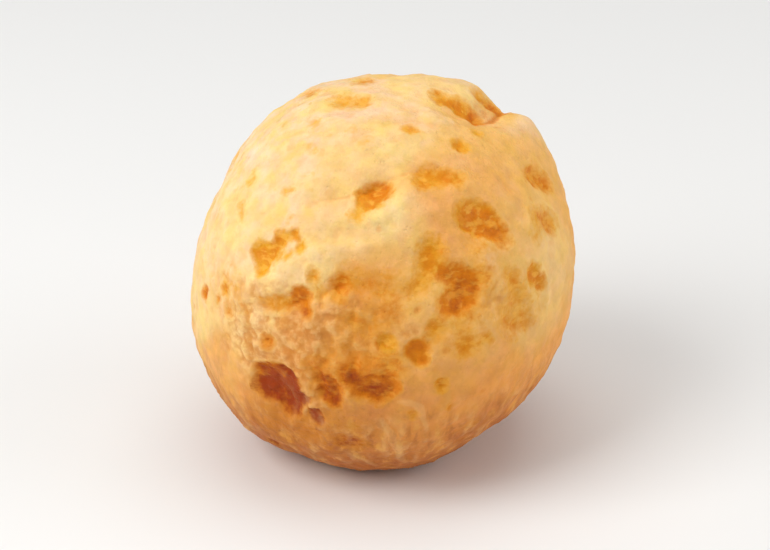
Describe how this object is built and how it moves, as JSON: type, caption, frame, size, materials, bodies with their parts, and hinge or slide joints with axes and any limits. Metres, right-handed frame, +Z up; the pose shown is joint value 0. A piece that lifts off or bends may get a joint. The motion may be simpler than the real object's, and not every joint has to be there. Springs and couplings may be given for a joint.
{
  "type": "cheese bread ball",
  "caption": "Baked cheese bread ball, uncut, uneven and golden, with browned spots, a fold by the crown and a small flat base to rest on.",
  "frame": {"origin": "middle of the flat base, on the surface that the ball rests on", "axes": "+Z up through the crown, -Y towards the shown side, +X to the right of the shown side"},
  "size_m": [0.0556, 0.0545, 0.0534],
  "materials": {
    "crust": "matt pale golden baked crust with orange-brown toasted spots"
  },
  "bodies": {
    "root": {"cheese_ball": "crust"}
  },
  "joints": []
}
